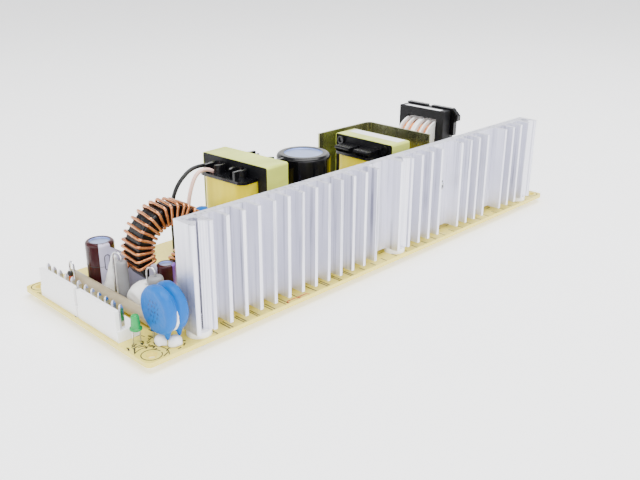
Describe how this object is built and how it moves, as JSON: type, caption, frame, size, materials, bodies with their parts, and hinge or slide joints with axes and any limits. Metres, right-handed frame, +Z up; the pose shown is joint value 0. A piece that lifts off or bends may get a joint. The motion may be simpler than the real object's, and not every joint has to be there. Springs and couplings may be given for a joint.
{
  "type": "open frame power supply",
  "caption": "Open frame switching power supply: one circuit board with a finned heatsink along one edge, pin headers at the ends, wound parts and capacitors between them.",
  "frame": {"origin": "centre of the rectangle of four mounting holes, on the underside of the circuit board", "axes": "+X along the board from the output headers to the input header, +Y across the board away from the heatsink edge, +Z up from the underside towards the parts"},
  "size_m": [0.222, 0.075, 0.0409],
  "materials": {
    "laminate": "satin, cream-yellow board",
    "solder": "bright soft metal",
    "aluminium": "satin extruded",
    "white_nylon": "satin",
    "steel": "plated",
    "tin": "bright tinned",
    "black_epoxy": "fine matte",
    "grey_pad": "matte",
    "ring_core": "smooth varnish",
    "copper": "enamelled wire",
    "adhesive": "soft silicone",
    "ferrite": "matte grey-black",
    "black_plastic": "semi-gloss",
    "yellow_tape": "thin film",
    "green_tape": "thin film, yellow-green",
    "dark_cable": "satin",
    "pale_cable": "satin",
    "screen_metal": "dull plated",
    "can_metal": "satin",
    "black_sleeve": "shrunk film",
    "maroon_sleeve": "shrunk film",
    "blue_coating": "dipped epoxy",
    "film_case": "moulded",
    "fuse_tube": "glazed",
    "beige_sleeve": "satin tubing",
    "green_lens": "tinted epoxy",
    "diode_glass": "clear",
    "grey_sleeve": "matte shrunk tubing"
  },
  "bodies": {
    "root": {"board": "laminate", "solder_joints": "solder", "heatsink": "aluminium", "sink_spacers": "white_nylon", "sink_screws": "steel", "device_bodies": "black_epoxy", "device_tabs": "tin", "device_pads": "grey_pad", "device_leads": "tin", "device_screws": "steel", "output_headers": "white_nylon", "output_pins": "tin", "input_header": "white_nylon", "input_pins": "tin", "toroid_core": "ring_core", "toroid_winding": "copper", "adhesive": "adhesive", "main_core": "ferrite", "main_bobbin": "black_plastic", "main_coil": "yellow_tape", "main_tape": "green_tape", "main_pins": "tin", "second_core": "ferrite", "second_bobbin": "black_plastic", "second_coil": "yellow_tape", "second_tape": "green_tape", "second_pins": "tin", "dark_lead": "dark_cable", "pale_lead": "pale_cable", "screen_plate": "screen_metal", "choke_core": "ferrite", "choke_bobbin": "white_nylon", "choke_coils": "copper", "choke_plate": "black_plastic", "bulk_can": "can_metal", "bulk_sleeve": "black_sleeve", "small_cans": "can_metal", "small_sleeves": "maroon_sleeve", "capacitor_leads": "tin", "disc_capacitors": "blue_coating", "disc_leads": "tin", "film_capacitor": "film_case", "bridge_rectifier": "black_epoxy", "fuse_body": "fuse_tube", "fuse_ends": "tin", "control_chips": "black_epoxy", "chip_leads": "tin", "bus_sleeve": "beige_sleeve", "bus_wire": "tin", "lamp": "green_lens", "lamp_leads": "tin", "diode_body": "diode_glass", "diode_leads": "tin", "sleeved_parts": "grey_sleeve", "sleeved_leads": "tin"}
  },
  "joints": []
}
